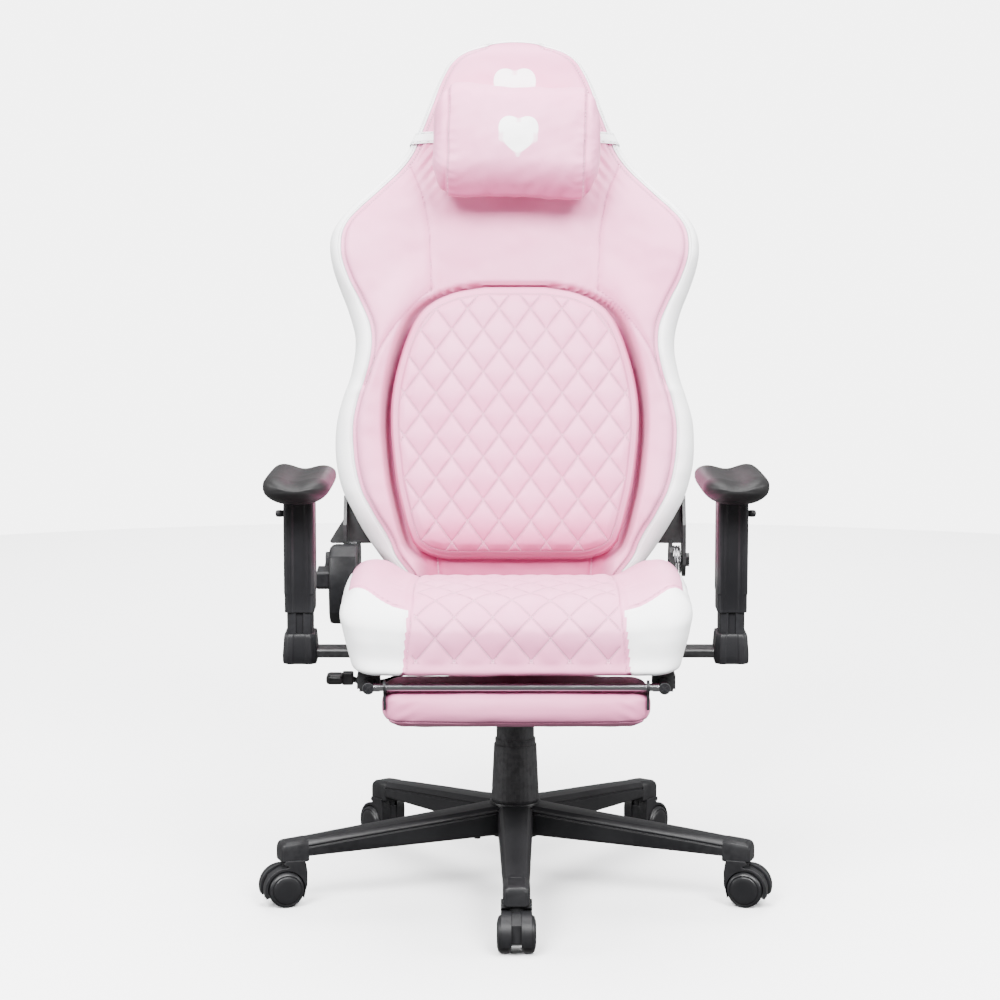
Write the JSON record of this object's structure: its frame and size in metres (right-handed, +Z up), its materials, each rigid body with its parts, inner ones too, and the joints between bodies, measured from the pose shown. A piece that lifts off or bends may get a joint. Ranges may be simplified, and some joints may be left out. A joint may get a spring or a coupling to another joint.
{
  "type": "gaming chair",
  "caption": "High-backed racing-style chair with headrest pillow, quilted lumbar pad, height-adjustable arms, retractable footrest and star base on casters.",
  "frame": {"origin": "on the floor, on the column's axis, which is the middle of the chair's extent across and front to back", "axes": "+Z up; the chair faces -Y; +X to the sitter's left"},
  "size_m": [0.7124, 0.7363, 1.1849],
  "materials": {
    "black_nylon": "moulded glass-filled nylon",
    "black_tread": "smooth nylon tread",
    "black_steel": "black powder coat",
    "bush_plastic": "plain",
    "bright_steel": "turned and zinc-plated",
    "chrome_tube": "bright chrome plate",
    "black_plastic": "fine-textured moulding",
    "black_polyurethane": "soft moulded skin",
    "pink_leather": "coated synthetic leather, quilted on the seat and the lumbar pad",
    "white_leather": "coated synthetic leather"
  },
  "bodies": {
    "base": {"star_base": "black_nylon", "column_tube": "black_steel", "guide_bush": "bush_plastic", "thrust_bearing": "bright_steel", "cover_lower": "black_plastic"},
    "spindle": {"piston_rod": "bright_steel", "rod_clip": "bright_steel"},
    "middle_cover": {"cover_middle": "black_plastic"},
    "lift": {"gas_cylinder": "bright_steel", "cover_upper": "black_plastic", "tilt_housing": "black_steel", "tilt_pin": "bright_steel", "tilt_spring": "bright_steel"},
    "release": {"release_pin": "bright_steel"},
    "knob": {"tension_knob": "black_plastic"},
    "rocker": {"lever_rocker": "bright_steel"},
    "lever": {"height_lever": "black_steel"},
    "seat": {"seat_plate": "black_steel", "seat_frame": "black_steel", "seat_cushion": "pink_leather", "arm_bracket_left": "black_steel", "arm_bracket_right": "black_steel", "arm_post_left": "black_plastic", "arm_post_right": "black_plastic", "footrest_guide_left": "black_steel", "footrest_guide_right": "black_steel", "recliner_bracket_left": "black_steel", "recliner_bracket_right": "black_steel", "recliner_unit": "bright_steel", "recliner_cover": "black_plastic", "recline_spring": "bright_steel"},
    "arm_left": {"arm_sleeve_left": "black_plastic", "arm_pad_left": "black_polyurethane"},
    "arm_right": {"arm_sleeve_right": "black_plastic", "arm_pad_right": "black_polyurethane"},
    "trigger_left": {"arm_trigger_left": "black_plastic"},
    "trigger_right": {"arm_trigger_right": "black_plastic"},
    "footrest": {"footrest_frame": "chrome_tube"},
    "footrest_flap": {"footrest_pad": "pink_leather", "footrest_lug_left": "black_plastic", "footrest_lug_right": "black_plastic"},
    "back": {"back_bracket_left": "black_steel", "back_bracket_right": "black_steel", "back_frame": "black_steel", "back_cushion": "pink_leather", "back_cover": "white_leather", "headrest_pillow": "pink_leather", "headrest_strap": "white_leather"},
    "lumbar": {"lumbar_pad": "pink_leather"},
    "recliner_handle": {"recline_lever": "black_plastic"},
    "caster_1": {"caster_hood_1": "black_nylon"},
    "wheels_1": {"caster_wheels_1": "black_tread"},
    "caster_2": {"caster_hood_2": "black_nylon"},
    "wheels_2": {"caster_wheels_2": "black_tread"},
    "caster_3": {"caster_hood_3": "black_nylon"},
    "wheels_3": {"caster_wheels_3": "black_tread"},
    "caster_4": {"caster_hood_4": "black_nylon"},
    "wheels_4": {"caster_wheels_4": "black_tread"},
    "caster_5": {"caster_hood_5": "black_nylon"},
    "wheels_5": {"caster_wheels_5": "black_tread"}
  },
  "joints": [
    {"name": "seat_swivel", "type": "hinge", "parent": "base", "child": "spindle", "pos_m": [0, 0, 0.066], "axis": [0, 0, 1], "continuous": true},
    {"name": "height_lift", "type": "slide", "parent": "spindle", "child": "lift", "axis": [0, 0, 1], "range_m": [0, 0.08]},
    {"name": "cover_slide", "type": "slide", "parent": "spindle", "child": "middle_cover", "axis": [0, 0, 1], "range_m": [0, 0.04]},
    {"name": "release_press", "type": "slide", "parent": "lift", "child": "release", "axis": [0, 0, -1], "range_m": [0, 0.003], "stiffness_N_per_m": 2000, "springref_m": -0.001},
    {"name": "tension_turn", "type": "hinge", "parent": "lift", "child": "knob", "pos_m": [0, 0.052, 0.302], "axis": [0, 0, 1], "range_deg": [-720, 720]},
    {"name": "lever_lift", "type": "hinge", "parent": "lift", "child": "rocker", "pos_m": [-0.04, 0, 0.3285], "axis": [0, 1, 0], "range_deg": [0, 4], "stiffness_Nm_per_rad": 8, "springref_deg": -4.58},
    {"name": "tilt_lock_pull", "type": "slide", "parent": "rocker", "child": "lever", "axis": [-1, 0, 0], "range_m": [0, 0.012]},
    {"name": "seat_rock", "type": "hinge", "parent": "lift", "child": "seat", "pos_m": [0, -0.055, 0.345], "axis": [-1, 0, 0], "range_deg": [0, 10], "stiffness_Nm_per_rad": 290, "springref_deg": -17.65, "deforming": ["tilt_spring"]},
    {"name": "footrest_slide", "type": "slide", "parent": "seat", "child": "footrest", "axis": [0, -1, 0], "range_m": [0, 0.26]},
    {"name": "footrest_flip", "type": "hinge", "parent": "footrest", "child": "footrest_flap", "pos_m": [0, -0.268, 0.3388], "axis": [-1, 0, 0], "range_deg": [0, 180]},
    {"name": "recline", "type": "hinge", "parent": "seat", "child": "back", "pos_m": [0, 0.20521, 0.43438], "axis": [-1, 0, 0], "range_deg": [0, 45]},
    {"name": "lumbar_give", "type": "slide", "parent": "back", "child": "lumbar", "axis": [0, 0.9863, -0.165], "range_m": [0, 0.012], "stiffness_N_per_m": 1500, "springref_m": -0.004},
    {"name": "recline_lever_lift", "type": "hinge", "parent": "seat", "child": "recliner_handle", "pos_m": [-0.264, 0.20521, 0.43438], "axis": [-1, 0, 0], "range_deg": [0, 20], "stiffness_Nm_per_rad": 1.5, "springref_deg": -17.19},
    {"name": "arm_height_left", "type": "slide", "parent": "seat", "child": "arm_left", "axis": [0, 0, 1], "range_m": [0, 0.045]},
    {"name": "arm_trigger_pull_left", "type": "slide", "parent": "arm_left", "child": "trigger_left", "axis": [1, 0, 0], "range_m": [0, 0.004], "stiffness_N_per_m": 400, "springref_m": -0.002},
    {"name": "arm_height_right", "type": "slide", "parent": "seat", "child": "arm_right", "axis": [0, 0, 1], "range_m": [0, 0.045]},
    {"name": "arm_trigger_pull_right", "type": "slide", "parent": "arm_right", "child": "trigger_right", "axis": [-1, 0, 0], "range_m": [0, 0.004], "stiffness_N_per_m": 400, "springref_m": -0.002},
    {"name": "caster_swivel_1", "type": "hinge", "parent": "base", "child": "caster_1", "pos_m": [0, -0.325, 0.0565], "axis": [0, 0, 1], "continuous": true},
    {"name": "wheel_roll_1", "type": "hinge", "parent": "caster_1", "child": "wheels_1", "pos_m": [0, -0.338, 0.025], "axis": [1, 0, 0], "continuous": true},
    {"name": "caster_swivel_2", "type": "hinge", "parent": "base", "child": "caster_2", "pos_m": [0.30909, -0.10043, 0.0565], "axis": [0, 0, 1], "continuous": true},
    {"name": "wheel_roll_2", "type": "hinge", "parent": "caster_2", "child": "wheels_2", "pos_m": [0.32146, -0.10445, 0.025], "axis": [0.309, 0.9511, 0], "continuous": true},
    {"name": "caster_swivel_3", "type": "hinge", "parent": "base", "child": "caster_3", "pos_m": [0.19103, 0.26293, 0.0565], "axis": [0, 0, 1], "continuous": true},
    {"name": "wheel_roll_3", "type": "hinge", "parent": "caster_3", "child": "wheels_3", "pos_m": [0.19867, 0.27345, 0.025], "axis": [-0.809, 0.5878, 0], "continuous": true},
    {"name": "caster_swivel_4", "type": "hinge", "parent": "base", "child": "caster_4", "pos_m": [-0.19103, 0.26293, 0.0565], "axis": [0, 0, 1], "continuous": true},
    {"name": "wheel_roll_4", "type": "hinge", "parent": "caster_4", "child": "wheels_4", "pos_m": [-0.19867, 0.27345, 0.025], "axis": [-0.809, -0.5878, 0], "continuous": true},
    {"name": "caster_swivel_5", "type": "hinge", "parent": "base", "child": "caster_5", "pos_m": [-0.30909, -0.10043, 0.0565], "axis": [0, 0, 1], "continuous": true},
    {"name": "wheel_roll_5", "type": "hinge", "parent": "caster_5", "child": "wheels_5", "pos_m": [-0.32146, -0.10445, 0.025], "axis": [0.309, -0.9511, 0], "continuous": true}
  ],
  "couplings": [
    {"joint": "cover_slide", "follows": "height_lift", "ratio": 0.5},
    {"joint": "release_press", "follows": "lever_lift", "m_per_rad": 0.0425},
    {"joint": "footrest_flip", "follows": "footrest_slide", "rad_per_m": 12.083}
  ]
}
